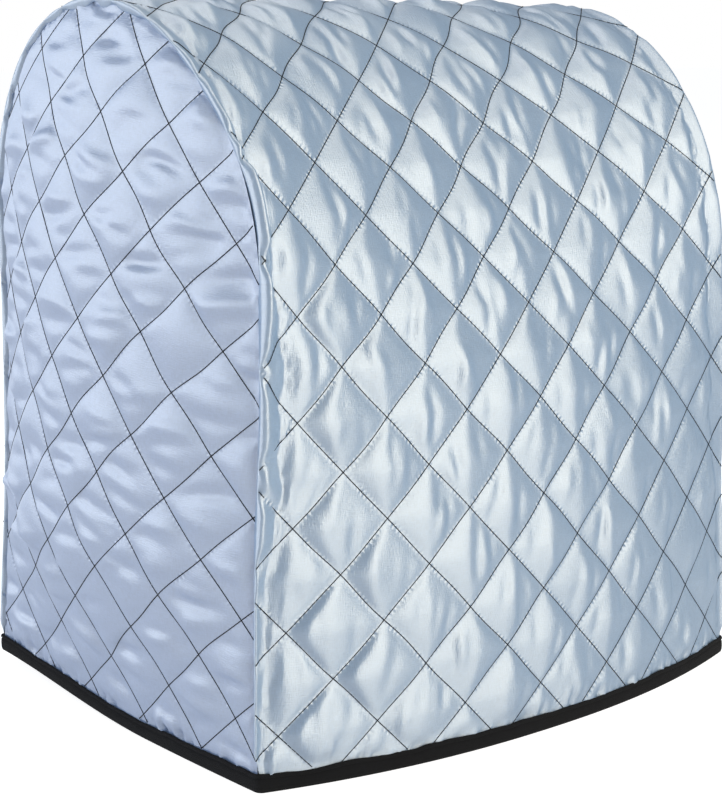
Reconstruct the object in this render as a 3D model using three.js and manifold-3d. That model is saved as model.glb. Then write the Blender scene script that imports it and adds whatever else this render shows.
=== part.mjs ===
// A quilted satin cover for a stand mixer: one long strip that runs up one long side, over a round arch
// and down the other, an arch-shaped panel at each end, and a black binding folded over the hem.
// Millimetres, +Z up. The origin is at the middle of the hem, on the surface that the cover stands on.
// The long sides face -Y and +Y, and the end panels face -X and +X.
import * as THREE from "three";
import { mergeVertices } from "three/addons/utils/BufferGeometryUtils.js";
import Module from "manifold-3d";

const wasm = await Module();
wasm.setup();

// Overall shape
const LENGTH = 349; // between the end seams, above the flare
const HALF_WIDTH = 125.7; // from the middle to an end seam's straight leg
const HEIGHT = 401; // the top of the end seams
const SPRING = 257.7; // where the straight legs end and the arch begins
const ARCH_POWER = 2.135; // 2 would be an ellipse
const SIDE_HALF_WIDTH = { near: 159.4, far: 151 }; // the long sides' half width at the hem, half way along
const MIDDLE_HEIGHT = 402; // the top of the strip, half way along
const SIDE_FULLNESS = 2.2; // power of the curve from the middle of the strip to its ends
const FLARE = { near: 5.9, far: 11.7, ends: 5.9 }; // how far the seams spread towards the hem
const FLARE_POWER = 1.6;
const LEAN = 17.4; // how far the top has slumped towards +Y
const LEAN_FROM = 189; // the height where the slump begins
const END_BULGE = { middle: 27, hem: 3.3 }; // how far the end panels stand out
const HEM_LIFT = 8; // the hem's rise at the corner towards -X and +Y
const HEM_LIFT_HEIGHT = 135; // the height where that rise has died out

// Cloth and quilting
const PITCH = 54; // one diamond, corner to corner, both ways
const CLOTH = 2.2; // thickness along the quilting lines
const PUFF = { strip: 3.4, end: 3.0 }; // how far a diamond's middle rises
const PUFF_POWER = 0.6;
const STRIP_REACH = 1.02 * (LENGTH / 2); // half the strip's width, measured along the cloth
const STRIP_SHIFT = 0.169 * PITCH; // where the first column of crossings lies
const STRIP_SKEW = 0.079; // the quilting's drift along the strip, per unit of height
const END_ACROSS = { start: -2.416, skew: -0.108 }; // in pitches, from the middle of an end panel
const END_UP = { start: 3.655, skew: 0.073 };

// Rolled lips along the end seams
const LIP_OUT = 3; // how far a lip stands beyond the end panel
const LIP_RISE = 2.2;
const LIP_WIDTH = 7;
const LIP_FADE = 12; // the flat band beside a lip

// Hem binding
const BINDING = { height: 10, tape: 1.3, gap: 0.4 };
const SEAM_GAP = 0.8; // between an end panel's edge and the strip

const clamp = (x, low, high) => Math.min(high, Math.max(low, x));
const smooth = (x) => {
  const t = clamp(x, 0, 1);
  return t * t * (3 - 2 * t);
};
const lean = (z) => LEAN * clamp((z - LEAN_FROM) / (HEIGHT - LEAN_FROM), 0, 1) ** 1.5;
const flareOut = (z) => Math.max(1 - z / SPRING, 0) ** FLARE_POWER;

// The end seam's half width at a height.
function seamHalfWidth(z, side) {
  if (z <= SPRING) return HALF_WIDTH + FLARE[side] * flareOut(z);
  const rise = clamp((z - SPRING) / (HEIGHT - SPRING), 0, 1);
  return HALF_WIDTH * (1 - rise ** ARCH_POWER) ** (1 / ARCH_POWER);
}

// A profile from the hem to the top as a function of the share of its length.
function byLength(points) {
  const along = [0];
  for (let i = 1; i < points.length; i++) {
    const [y, z] = points[i];
    along.push(along[i - 1] + Math.hypot(y - points[i - 1][0], z - points[i - 1][1]));
  }
  const total = along[along.length - 1];
  const at = (share) => {
    const want = clamp(share, 0, 1) * total;
    let i = 1;
    while (i < along.length - 1 && along[i] < want) i++;
    const t = (want - along[i - 1]) / (along[i] - along[i - 1]);
    return [0, 1].map((c) => points[i - 1][c] + (points[i][c] - points[i - 1][c]) * t);
  };
  return { total, at };
}

function seamProfile(side) {
  const points = [];
  for (let z = 0; z < SPRING; z += SPRING / 30) points.push([seamHalfWidth(z, side), z]);
  for (let i = 0; i <= 60; i++) {
    const turn = (i / 60) * (Math.PI / 2);
    const y = HALF_WIDTH * Math.cos(turn) ** (2 / ARCH_POWER);
    const z = SPRING + (HEIGHT - SPRING) * Math.sin(turn) ** (2 / ARCH_POWER);
    points.push([i === 60 ? 0 : y, z]);
  }
  return byLength(points);
}

// Half way along, the strip hangs as half an ellipse.
function middleProfile(side) {
  const points = [];
  for (let i = 0; i <= 90; i++) {
    const turn = (i / 90) * (Math.PI / 2);
    points.push([SIDE_HALF_WIDTH[side] * Math.cos(turn), MIDDLE_HEIGHT * Math.sin(turn)]);
  }
  return byLength(points);
}

const SIDES = ["near", "far"];
const SEAM = { near: seamProfile("near"), far: seamProfile("far") };
const MIDDLE = { near: middleProfile("near"), far: middleProfile("far") };
const TOP = SEAM.near.total; // length of the strip from the hem to the top
const SPAN = TOP + SEAM.far.total;

// The strip's outer face along the quilting lines. s is the distance across the strip from its middle, and
// along is the distance up the strip from the near hem. Past the end seam the strip runs straight on.
function stripPoint(s, along) {
  const across = clamp(s / STRIP_REACH, -1, 1);
  const side = along <= TOP ? "near" : "far";
  const share = along <= TOP ? along / TOP : (SPAN - along) / SEAM.far.total;
  const [ySeam, zSeam] = SEAM[side].at(share);
  const [yMiddle, zMiddle] = MIDDLE[side].at(share);
  const blend = 1 - Math.abs(across) ** SIDE_FULLNESS;
  const z = zSeam + (zMiddle - zSeam) * blend;
  const y = ySeam + (yMiddle - ySeam) * blend;
  const x = across * (LENGTH / 2 + FLARE.ends * flareOut(z)) + (s - across * STRIP_REACH);
  return new THREE.Vector3(x, (side === "near" ? -y : y) + lean(z), z);
}

function stripNormal(s, along) {
  const step = 1.5;
  const a = stripPoint(s, clamp(along - step, 0, SPAN));
  const b = stripPoint(s, clamp(along + step, 0, SPAN));
  const c = stripPoint(s - step, along);
  const d = stripPoint(s + step, along);
  return d.sub(c).cross(b.sub(a)).normalize();
}

// How high the cloth stands between the quilting lines, from 0 on a line to 1 in a diamond's middle.
const diamond = (u, v) =>
  Math.abs(Math.sin(Math.PI * (u + v)) * Math.sin(Math.PI * (u - v))) ** PUFF_POWER;

// The quilting's drift along the strip, the same way down from the top on both sides.
function stripDrift(v) {
  const fromTop = v - (TOP / PITCH - 4.539);
  return STRIP_SKEW * (TOP / PITCH - 4.539 - (Math.hypot(fromTop, 0.4) - 0.4));
}

const liftOf = (x, y) => smooth((y + 32) / 162) * smooth((-x / (LENGTH / 2) - 0.2) / 0.8);

// The last step for every piece: the hem's lift at one corner.
function lifted(p) {
  const share = clamp(1 - p.z / HEM_LIFT_HEIGHT, 0, 1);
  return new THREE.Vector3(p.x, p.y, p.z + HEM_LIFT * liftOf(p.x, p.y) * share);
}

function indexed(points, faces) {
  const flat = new Float32Array(points.length * 3);
  points.forEach((p, i) => flat.set([p.x, p.y, p.z], i * 3));
  const geometry = new THREE.BufferGeometry();
  geometry.setAttribute("position", new THREE.BufferAttribute(flat, 3));
  geometry.setIndex(faces.flat());
  return geometry;
}

// A sheet between two grids of points, closed along its four edges. outer[row][column] lies outside.
function sheet(outer, inner) {
  const rows = outer.length;
  const columns = outer[0].length;
  const points = [...outer.flat(), ...inner.flat()];
  const offset = rows * columns;
  const id = (r, c, layer) => layer * offset + r * columns + c;
  const faces = [];
  const quad = (a, b, c, d, flip) => {
    if (flip) faces.push([a, b, d], [b, c, d]);
    else faces.push([a, b, c], [a, c, d]);
  };
  for (let r = 0; r < rows - 1; r++)
    for (let c = 0; c < columns - 1; c++) {
      const flip = (r + c) % 2 === 1;
      quad(id(r, c, 0), id(r, c + 1, 0), id(r + 1, c + 1, 0), id(r + 1, c, 0), flip);
      quad(id(r, c, 1), id(r + 1, c, 1), id(r + 1, c + 1, 1), id(r, c + 1, 1), flip);
    }
  for (let c = 0; c < columns - 1; c++) {
    quad(id(0, c, 0), id(0, c, 1), id(0, c + 1, 1), id(0, c + 1, 0));
    quad(id(rows - 1, c, 0), id(rows - 1, c + 1, 0), id(rows - 1, c + 1, 1), id(rows - 1, c, 1));
  }
  for (let r = 0; r < rows - 1; r++) {
    quad(id(r, 0, 0), id(r + 1, 0, 0), id(r + 1, 0, 1), id(r, 0, 1));
    quad(id(r, columns - 1, 0), id(r, columns - 1, 1), id(r + 1, columns - 1, 1), id(r + 1, columns - 1, 0));
  }
  return indexed(points, faces);
}

// The strip. Its rows and columns follow the quilting at quarter steps, so that the lines stay sharp.
function makeStrip() {
  const hemV = -4.539;
  const bottom = BINDING.tape + BINDING.gap;
  const rowsAt = [bottom, BINDING.height + 1];
  for (let v = -4.25; (v - hemV) * PITCH < SPAN - 16; v += 0.25) rowsAt.push((v - hemV) * PITCH);
  rowsAt.push(SPAN - BINDING.height - 1, SPAN - bottom);
  const outer = [];
  const inner = [];
  for (const along of rowsAt) {
    const v = along / PITCH + hemV;
    const fromHem = Math.min(along, SPAN - along);
    const free = smooth((fromHem - BINDING.height - 1) / 9); // 0 inside the binding
    const lipEdge = STRIP_REACH + LIP_OUT * free;
    const lipFoot = lipEdge - LIP_WIDTH;
    const first = (0.25 - 3) * PITCH + STRIP_SHIFT + stripDrift(v) * PITCH;
    const last = first + 5.25 * PITCH;
    const columns = [-lipEdge, -lipEdge + LIP_WIDTH / 2, -lipFoot, (first - lipFoot) / 2];
    for (let c = 0; c <= 21; c++) columns.push(first + (c * PITCH) / 4);
    columns.push(last + (lipFoot - last) / 3, last + ((lipFoot - last) * 2) / 3);
    columns.push(lipFoot, lipEdge - LIP_WIDTH / 2, lipEdge);
    const rowOuter = [];
    const rowInner = [];
    for (const s of columns) {
      const u = (s - STRIP_SHIFT) / PITCH + 3 - stripDrift(v);
      const fromFoot = lipFoot - Math.abs(s);
      const fade = smooth(fromFoot / LIP_FADE) * smooth((fromHem - BINDING.height) / 14);
      const inLip = clamp(-fromFoot / LIP_WIDTH, 0, 1);
      const height = PUFF.strip * diamond(u, v) * fade + LIP_RISE * free * 4 * inLip * (1 - inLip);
      const base = stripPoint(s, along);
      const normal = stripNormal(s, along);
      rowOuter.push(lifted(base.clone().addScaledVector(normal, height)));
      rowInner.push(lifted(base.clone().addScaledVector(normal, -CLOTH)));
    }
    outer.push(rowOuter);
    inner.push(rowInner);
  }
  return sheet(outer, inner);
}

// The top of the arch over a distance from the middle.
function archHeight(y) {
  const w = clamp(Math.abs(y) / HALF_WIDTH, 0, 1);
  return SPRING + (HEIGHT - SPRING) * (1 - w ** ARCH_POWER) ** (1 / ARCH_POWER);
}

// How far an end panel stands out from the plane of its seam.
function endBulge(y, z) {
  const level = clamp(z, 0, HEIGHT);
  const middle = y - lean(level);
  const half = level < SPRING ? seamHalfWidth(level, middle < 0 ? "near" : "far") : HALF_WIDTH;
  const fromSeam = clamp(1 - (middle / half) ** 2, 0, 1);
  const fromTop = clamp(1 - (level / archHeight(middle)) ** 6, 0, 1);
  const size = END_BULGE.hem + (END_BULGE.middle - END_BULGE.hem) * smooth(level / (0.3 * HEIGHT));
  return size * fromSeam * fromTop + FLARE.ends * flareOut(Math.min(z, HEIGHT));
}

// The outline of an end panel, inside the strip, from the near hem over the top to the far hem.
function endOutline() {
  const inset = CLOTH + SEAM_GAP;
  const line = [];
  for (const side of SIDES) {
    const profile = SEAM[side];
    const half = [];
    const count = 44;
    for (let i = 0; i <= count; i++) {
      const share = i / count;
      const [y, z] = profile.at(share);
      const [ya, za] = profile.at(share - 0.004);
      const [yb, zb] = profile.at(share + 0.004);
      const size = Math.hypot(yb - ya, zb - za);
      const yIn = y - (inset * (zb - za)) / size;
      const zIn = z + (inset * (yb - ya)) / size;
      half.push([(side === "near" ? -1 : 1) * Math.max(yIn, 0) + lean(z), zIn]);
    }
    half[0][1] = BINDING.tape + BINDING.gap;
    if (side === "far") half.reverse();
    line.push(...(side === "near" ? half : half.slice(1)));
  }
  return line;
}

function distanceToLine(y, z, line) {
  let best = Infinity;
  for (let i = 1; i < line.length; i++) {
    const [ya, za] = line[i - 1];
    const [yb, zb] = line[i];
    const size = (yb - ya) ** 2 + (zb - za) ** 2;
    const t = clamp(((y - ya) * (yb - ya) + (z - za) * (zb - za)) / size, 0, 1);
    best = Math.min(best, Math.hypot(y - ya - t * (yb - ya), z - za - t * (zb - za)));
  }
  return best;
}

function solidFrom(geometry) {
  const bare = new THREE.BufferGeometry();
  bare.setAttribute("position", geometry.getAttribute("position"));
  bare.setIndex(geometry.index);
  const merged = mergeVertices(bare, 1e-4);
  return new wasm.Manifold(
    new wasm.Mesh({
      numProp: 3,
      vertProperties: new Float32Array(merged.attributes.position.array),
      triVerts: new Uint32Array(merged.index.array),
    }),
  );
}

function geometryFrom(solid) {
  const mesh = solid.getMesh();
  const geometry = new THREE.BufferGeometry();
  const flat = new Float32Array(mesh.numVert * 3);
  for (let i = 0; i < mesh.numVert; i++)
    flat.set(mesh.vertProperties.subarray(i * mesh.numProp, i * mesh.numProp + 3), i * 3);
  geometry.setAttribute("position", new THREE.BufferAttribute(flat, 3));
  geometry.setIndex(new THREE.BufferAttribute(new Uint32Array(mesh.triVerts), 1));
  return geometry;
}

// An end panel: a quilted sheet larger than the panel, cut to the outline. sign is -1 for the end at -X.
function makeEnd(sign) {
  const line = endOutline();
  const outer = [];
  const inner = [];
  for (let v = -4.75; v <= 4.25; v += 0.25) {
    const rowOuter = [];
    const rowInner = [];
    for (let u = -0.75; u <= 5.75; u += 0.25) {
      const y = (END_ACROSS.start + u + END_ACROSS.skew * v) * PITCH;
      const z = (END_UP.start + v + END_UP.skew * u) * PITCH;
      const aboveBinding = z - BINDING.height - PITCH / 4;
      const fade = smooth((distanceToLine(y, z, line) - 4) / 12) * smooth(aboveBinding / 10);
      const out = LENGTH / 2 + endBulge(y, z);
      rowOuter.push(new THREE.Vector3(sign * (out + PUFF.end * diamond(u, v) * fade), y, z));
      rowInner.push(new THREE.Vector3(sign * (out - CLOTH), y, z));
    }
    outer.push(sign < 0 ? rowOuter.reverse() : rowOuter);
    inner.push(sign < 0 ? rowInner.reverse() : rowInner);
  }
  const cloth = solidFrom(sheet(outer, inner));
  const shape = new THREE.Shape(line.map(([y, z]) => new THREE.Vector2(y, z)));
  const block = new THREE.ExtrudeGeometry(shape, { depth: LENGTH, bevelEnabled: false });
  block.deleteAttribute("normal");
  block.deleteAttribute("uv");
  // The shape's own x, y and depth become Y, Z and X.
  const turn = new THREE.Matrix4().makeBasis(
    new THREE.Vector3(0, 1, 0),
    new THREE.Vector3(0, 0, 1),
    new THREE.Vector3(1, 0, 0),
  );
  block.applyMatrix4(turn);
  block.translate(sign < 0 ? -LENGTH : 0, 0, 0);
  const geometry = geometryFrom(cloth.intersect(solidFrom(mergeVertices(block, 1e-4))));
  const position = geometry.getAttribute("position");
  const p = new THREE.Vector3();
  for (let i = 0; i < position.count; i++) {
    p.copy(lifted(p.fromBufferAttribute(position, i)));
    position.setXYZ(i, p.x, p.y, p.z);
  }
  return geometry;
}

// The half width of a long side at a place along the cover and a height.
function sideHalfWidth(x, z, side) {
  const across = clamp(x / (LENGTH / 2 + FLARE.ends * flareOut(z)), -1, 1);
  const blend = 1 - Math.abs(across) ** SIDE_FULLNESS;
  const rise = z / MIDDLE_HEIGHT;
  const middle = SIDE_HALF_WIDTH[side] * Math.sqrt(1 - rise * rise);
  const seam = seamHalfWidth(z, side);
  return seam + (middle - seam) * blend;
}

// A closed loop round the cover at a height, a distance outside the cloth's face. Corners are rounded.
function hemLoop(z, outward, round) {
  const side = (name) => (name === "near" ? -1 : 1);
  const cornerX = LENGTH / 2 + FLARE.ends * flareOut(z) + outward;
  const cornerY = (name) => seamHalfWidth(z, name) + outward;
  const long = (x, name) => [x, side(name) * (sideHalfWidth(x, z, name) + outward)];
  const end = (y, sign) => [sign * (LENGTH / 2 + endBulge(y, z) + outward), y];
  const loop = [];
  const corner = (from, sharp, to) => {
    for (const t of [0.25, 0.5, 0.75]) {
      const mix = (c) => (1 - t) ** 2 * from[c] + 2 * t * (1 - t) * sharp[c] + t * t * to[c];
      loop.push([mix(0), mix(1)]);
    }
  };
  const reachX = cornerX - round;
  const longSteps = 34;
  const endSteps = 22;
  const endY = (share) => {
    const low = -cornerY("near") + round;
    return low + (cornerY("far") - round - low) * share;
  };
  for (let i = 0; i <= longSteps; i++) loop.push(long(reachX * (-1 + (2 * i) / longSteps), "near"));
  corner(long(reachX, "near"), [cornerX, -cornerY("near")], end(endY(0), 1));
  for (let i = 0; i <= endSteps; i++) loop.push(end(endY(i / endSteps), 1));
  corner(end(endY(1), 1), [cornerX, cornerY("far")], long(reachX, "far"));
  for (let i = 0; i <= longSteps; i++) loop.push(long(reachX * (1 - (2 * i) / longSteps), "far"));
  corner(long(-reachX, "far"), [-cornerX, cornerY("far")], end(endY(1), -1));
  for (let i = 0; i <= endSteps; i++) loop.push(end(endY(1 - i / endSteps), -1));
  corner(end(endY(0), -1), [-cornerX, -cornerY("near")], long(-reachX, "near"));
  return loop.map(([x, y]) => lifted(new THREE.Vector3(x, y, z)));
}

// The binding is a tape folded over the hem: a channel, open upwards, that the panels stand in.
function makeBinding() {
  const { height, tape, gap } = BINDING;
  const rings = [
    { z: 0, outward: gap + tape, round: 4 },
    { z: height, outward: gap + tape, round: 4 },
    { z: height, outward: gap, round: 1 },
    { z: tape, outward: gap, round: 1 },
    { z: tape, outward: -(CLOTH + gap + 0.1), round: 2 },
    { z: height, outward: -(CLOTH + gap + 0.1), round: 2 },
    { z: height, outward: -(CLOTH + gap + 0.1 + tape), round: 1.5 },
    { z: 0, outward: -(CLOTH + gap + 0.1 + tape), round: 1.5 },
  ];
  const loops = rings.map(({ z, outward, round }) => hemLoop(z, outward, round));
  const count = loops[0].length;
  const faces = [];
  for (let r = 0; r < loops.length; r++)
    for (let i = 0; i < count; i++) {
      const next = (r + 1) % loops.length;
      const j = (i + 1) % count;
      const [a, b, c, d] = [r * count + i, r * count + j, next * count + j, next * count + i];
      faces.push([a, b, c], [a, c, d]);
    }
  return indexed(loops.flat(), faces);
}

const satin = { color: 0xb9c6d6, roughness: 0.32, metalness: 0 };
const endSatin = { color: 0xb4c2dc, roughness: 0.36, metalness: 0 };
const twill = { color: 0x17171a, roughness: 0.85, metalness: 0 };

function named(name, geometry, look) {
  const mesh = new THREE.Mesh(geometry, new THREE.MeshStandardMaterial(look));
  mesh.name = name;
  geometry.computeVertexNormals();
  return mesh;
}

const cover = new THREE.Group();
cover.add(
  named("main_panel", makeStrip(), satin),
  named("end_panel_left", makeEnd(-1), endSatin),
  named("end_panel_right", makeEnd(1), endSatin),
  named("hem_binding", makeBinding(), twill),
);

// The middle of the whole outline goes over the origin.
const outline = new THREE.Box3().setFromObject(cover);
const middle = outline.getCenter(new THREE.Vector3());
cover.position.set(-middle.x, -middle.y, -outline.min.z);

export default cover;
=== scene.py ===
"""The looks of a quilted satin stand mixer cover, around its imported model.

The panels are relaxed as flat cloth that is sewn down along the quilting lines and has more cloth than room
between them, and then wrapped on the cover's shape. Lengths are in millimetres until a mesh is made, and in
metres for the lights and the camera.
"""

import math

import bpy
import numpy as np
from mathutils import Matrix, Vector


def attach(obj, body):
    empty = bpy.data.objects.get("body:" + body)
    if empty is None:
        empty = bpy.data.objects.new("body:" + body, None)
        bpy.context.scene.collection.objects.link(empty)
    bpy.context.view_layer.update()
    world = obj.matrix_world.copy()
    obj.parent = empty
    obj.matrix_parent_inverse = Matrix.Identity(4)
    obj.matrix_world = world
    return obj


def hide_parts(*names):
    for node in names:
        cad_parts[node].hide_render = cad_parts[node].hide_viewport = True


MM = 0.001

# The cover's shape, as in the model
LENGTH = 349.0
HALF_WIDTH = 125.7
HEIGHT = 401.0
SPRING = 257.7
ARCH_POWER = 2.135
SIDE_HALF_WIDTH = {"near": 159.4, "far": 151.0}
MIDDLE_HEIGHT = 402.0
SIDE_FULLNESS = 2.2
FLARE = {"near": 5.9, "far": 11.7, "ends": 5.9}
FLARE_POWER = 1.6
LEAN = 17.4
LEAN_FROM = 189.0
END_BULGE = {"middle": 27.0, "hem": 3.3}
HEM_LIFT = 8.0
HEM_LIFT_HEIGHT = 135.0
MOVE_Y = 4.006  # puts the middle of the outline over the origin

PITCH = 54.0
STRIP_REACH = 1.02 * LENGTH / 2
STRIP_SHIFT = 0.169 * PITCH
STRIP_SKEW = 0.079
HEM_V = -4.539
END_ACROSS = {"start": -2.416, "skew": -0.108}
END_UP = {"start": 3.655, "skew": 0.073}
LIP_OUT = 3.0
LIP_WIDTH = 13.0  # from the foot of its slope on the panel
LIP_SHAPE = [  # out from the foot, and up: the slope, the crest, and down and back into the seam
    (0.0, 0.0),
    (1.2, 0.25),
    (3.2, 1.15),
    (5.4, 2.2),
    (7.6, 3.2),
    (9.3, 3.9),
    (10.4, 4.2),
    (11.3, 4.1),
    (12.2, 3.3),
    (12.8, 2.1),
    (13.0, 0.7),
    (12.6, -1.2),
    (11.2, -4.0),
    (7.6, -5.2),
]
PINCHED = 0.42  # the roll's share of its height where a quilting line crosses it
PROUD = [  # how far the near seam of the left end is pushed out past the panel's face, by height
    (100, 0.0),
    (150, 1.5),
    (200, 6.5),
    (245, 8.0),
    (305, 9.0),
    (337, 4.5),
    (372, 0.0),
]
BINDING_HEIGHT = 10.0
HEM_Z = 1.8  # where the cloth ends, inside the binding
CLOTH = 2.2  # the quilted cloth's thickness at a stitching line

# The quilting
GRID = 26  # cloth cells to one diamond, corner to corner
LOOK = {
    "strip": {
        "dome": 1.3,
        "ridge": 3.2,
        "wander": 0.11,
        "folds": 6,
        "depth": 1.5,
        "fold_width": 2.2,
        "fold_length": 6.5,
        "fullness": (0.035, 0.010),
        "grain": (2.5, 6.0),
    },
    "end": {
        "dome": 2.0,
        "ridge": 1.5,
        "wander": 0.14,
        "folds": 7,
        "depth": 2.9,
        "fold_width": 2.7,
        "fold_length": 10.0,
        "fullness": (0.010, 0.035),
        "grain": (6.0, 2.5),
    },
}
STITCH = {"pitch": 3.0, "length": 3.2, "radius": 0.3}
MIDDLE_U = 3  # the quilting coordinate at the strip's middle, before STRIP_SHIFT
STRIP_COLUMNS = (-0.9, 6.7)  # how far a grid reaches, in diamonds
END_COLUMNS = (-0.9, 5.8)
END_ROWS = (-4.4, 4.3)
END_WANDER = 1.3  # how far the stitching lines of an end panel wander
BACK_GRID = 9  # cells to one diamond at the back
BACK_COLUMNS = (-1.0, 5.9)
BACK_ROWS = (-4.45, 4.45)
STEEP_DIAMONDS = (-145, -95)  # where their middles lie across the strip, near its left edge
LOW_ROWS = 4.6  # in diamonds above the hem: the diamonds below it have steep or shifted ridges
EDGE_SHIFT = 0.13  # of a diamond, for the ridges beside the left edge
CRUMPLED_TOP = 0.7  # how much deeper the folds are over the top and behind
# Small folds above the binding: their height, how far up they reach and how uneven that is
HEM_GATHERS = {"height": 1.2, "reach": 11, "uneven": 5, "cells": (0.75, 4.0)}


def clamp01(x):
    return np.clip(x, 0.0, 1.0)


def smooth(x):
    t = clamp01(x)
    return t * t * (3 - 2 * t)


def run_length(line):
    """The length of a line of points up to each of them."""
    return np.concatenate([[0], np.cumsum(np.linalg.norm(np.diff(line, axis=0), axis=1))])


def grid_line(reach, cells):
    """Even places from the first reach to the second, in diamonds."""
    return np.arange(int(reach[0] * cells), int(reach[1] * cells)) / cells


def top_growth(along):
    """From 0 on the near side to 1 over the top and behind it."""
    return smooth((along - 0.6 * TOP) / (0.3 * TOP))


def lean(z):
    return LEAN * clamp01((z - LEAN_FROM) / (HEIGHT - LEAN_FROM)) ** 1.5


def flare_out(z):
    return np.maximum(1 - z / SPRING, 0) ** FLARE_POWER


def seam_half_width(z, side):
    z = np.asarray(z, float)
    rise = clamp01((z - SPRING) / (HEIGHT - SPRING))
    arch = HALF_WIDTH * (1 - rise**ARCH_POWER) ** (1 / ARCH_POWER)
    return np.where(z <= SPRING, HALF_WIDTH + FLARE[side] * flare_out(z), arch)


class Profile:
    """A curve from the hem to the top, read by the share of its length."""

    def __init__(self, y, z):
        self.y = y
        self.z = z
        self.along = np.concatenate([[0], np.cumsum(np.hypot(np.diff(y), np.diff(z)))])
        self.total = self.along[-1]

    def at(self, share):
        want = share * self.total
        return np.interp(want, self.along, self.y), np.interp(want, self.along, self.z)


def seam_profile(side):
    z = np.linspace(0, SPRING, 240)[:-1]
    turn = np.linspace(0, np.pi / 2, 480)
    y = np.concatenate([seam_half_width(z, side), HALF_WIDTH * np.cos(turn) ** (2 / ARCH_POWER)])
    y[-1] = 0
    z = np.concatenate([z, SPRING + (HEIGHT - SPRING) * np.sin(turn) ** (2 / ARCH_POWER)])
    return Profile(y, z)


def middle_profile(side):
    turn = np.linspace(0, np.pi / 2, 720)
    return Profile(SIDE_HALF_WIDTH[side] * np.cos(turn), MIDDLE_HEIGHT * np.sin(turn))


SEAM = {side: seam_profile(side) for side in ("near", "far")}
MIDDLE = {side: middle_profile(side) for side in ("near", "far")}
TOP = SEAM["near"].total
SPAN = TOP + SEAM["far"].total


def uneven(a, b):
    """Two smooth moves, of up to 1, that make straight stitching lines wander."""
    return (
        0.5 * np.sin(a / 11 + b / 14) + 0.5 * np.sin(b / 9.5 - a / 17 + 1),
        0.5 * np.sin(a / 12 - b / 15 + 2) + 0.5 * np.sin(a / 16 + b / 10),
    )


def strip_point(s, along):
    """The strip's face along the quilting lines: s across from its middle, along up from the near hem."""
    size = 0.8 + 1.1 * top_growth(along)
    size = size * smooth((STRIP_REACH - 14 - np.abs(s)) / 30)
    size = size * smooth((np.minimum(along, SPAN - along) - 15) / 40)
    move_s, move_along = uneven(s, along)
    s, along = s + size * move_s, along + size * move_along
    across = np.clip(s / STRIP_REACH, -1, 1)
    blend = 1 - np.abs(across) ** SIDE_FULLNESS
    near = along <= TOP
    found = {}
    for side, share in (("near", along / TOP), ("far", (SPAN - along) / SEAM["far"].total)):
        ys, zs = SEAM[side].at(clamp01(share))
        ym, zm = MIDDLE[side].at(clamp01(share))
        found[side] = (ys + (ym - ys) * blend, zs + (zm - zs) * blend)
    z = np.where(near, found["near"][1], found["far"][1])
    y = np.where(near, -found["near"][0], found["far"][0]) + lean(z)
    x = across * (LENGTH / 2 + FLARE["ends"] * flare_out(z)) + (s - across * STRIP_REACH)
    return np.stack([x, y, z], -1)


def unit(v):
    return v / np.maximum(np.linalg.norm(v, axis=-1, keepdims=True), 1e-12)


def proud(z):
    heights, sizes = np.array(PROUD).T
    steps = np.linspace(-24, 24, 9)
    return sum(np.interp(z + step, heights, sizes) for step in steps) / len(steps)


def lip_edge(along, sign):
    """Where the rolled edge starts, across the strip from its middle, how far it is pushed out, and how wide
    it is."""
    z = strip_point(np.full_like(along, -STRIP_REACH), along)[..., 2]
    push = np.where((sign < 0) & (along < TOP), proud(z), 0)
    wide = 0.42 + 0.58 * smooth((z - 80) / 90) - 0.36 * smooth((z - 220) / 110)
    wide = wide * (1 + 0.08 * np.sin(0.21 * along) + 0.08 * np.sin(0.083 * along + 2))
    return STRIP_REACH + LIP_OUT - wide * LIP_WIDTH - 0.6 * push, push, wide + 0.4 * push / LIP_WIDTH


def strip_normal(s, along):
    step = 2.5
    up = strip_point(s, np.clip(along + step, 0, SPAN)) - strip_point(s, np.clip(along - step, 0, SPAN))
    across = strip_point(s + step, along) - strip_point(s - step, along)
    return unit(np.cross(across, up))


def arch_height(y):
    w = clamp01(np.abs(y) / HALF_WIDTH)
    return SPRING + (HEIGHT - SPRING) * (1 - w**ARCH_POWER) ** (1 / ARCH_POWER)


def end_bulge(y, z):
    level = np.clip(z, 0, HEIGHT)
    middle = y - lean(level)
    near = seam_half_width(level, "near")
    far = seam_half_width(level, "far")
    half = np.where(level < SPRING, np.where(middle < 0, near, far), HALF_WIDTH)
    from_seam = clamp01(1 - (middle / half) ** 2)
    from_top = clamp01(1 - (level / arch_height(middle)) ** 6)
    grow = smooth(level / (0.3 * HEIGHT))
    size = END_BULGE["hem"] + (END_BULGE["middle"] - END_BULGE["hem"]) * grow
    return size * from_seam * from_top + FLARE["ends"] * flare_out(np.minimum(z, HEIGHT))


def end_point(y, z, sign):
    inner = end_bulge(y, z) - FLARE["ends"] * flare_out(np.minimum(z, HEIGHT))
    size = END_WANDER * smooth((inner - 3) / 10)
    move_y, move_z = uneven(y, z)
    y, z = y + size * move_y, z + size * move_z
    return np.stack([sign * (LENGTH / 2 + end_bulge(y, z)), y, z], -1)


def end_normal(y, z, sign):
    step = 2.5
    a = end_point(y + step, z, sign) - end_point(y - step, z, sign)
    b = end_point(y, z + step, sign) - end_point(y, z - step, sign)
    return unit(np.cross(a, b)) * sign


def lifted(p):
    """The hem's rise at one corner, and the move that centres the cover."""
    x, y, z = p[..., 0], p[..., 1], p[..., 2]
    reach = smooth((y + 32) / 162) * smooth((-x / (LENGTH / 2) - 0.2) / 0.8)
    z = z + HEM_LIFT * reach * clamp01(1 - z / HEM_LIFT_HEIGHT)
    return np.stack([x, y + MOVE_Y, z], -1)


def strip_drift(v):
    top = TOP / PITCH + HEM_V
    return STRIP_SKEW * (top - (np.hypot(v - top, 0.4) - 0.4))


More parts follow.
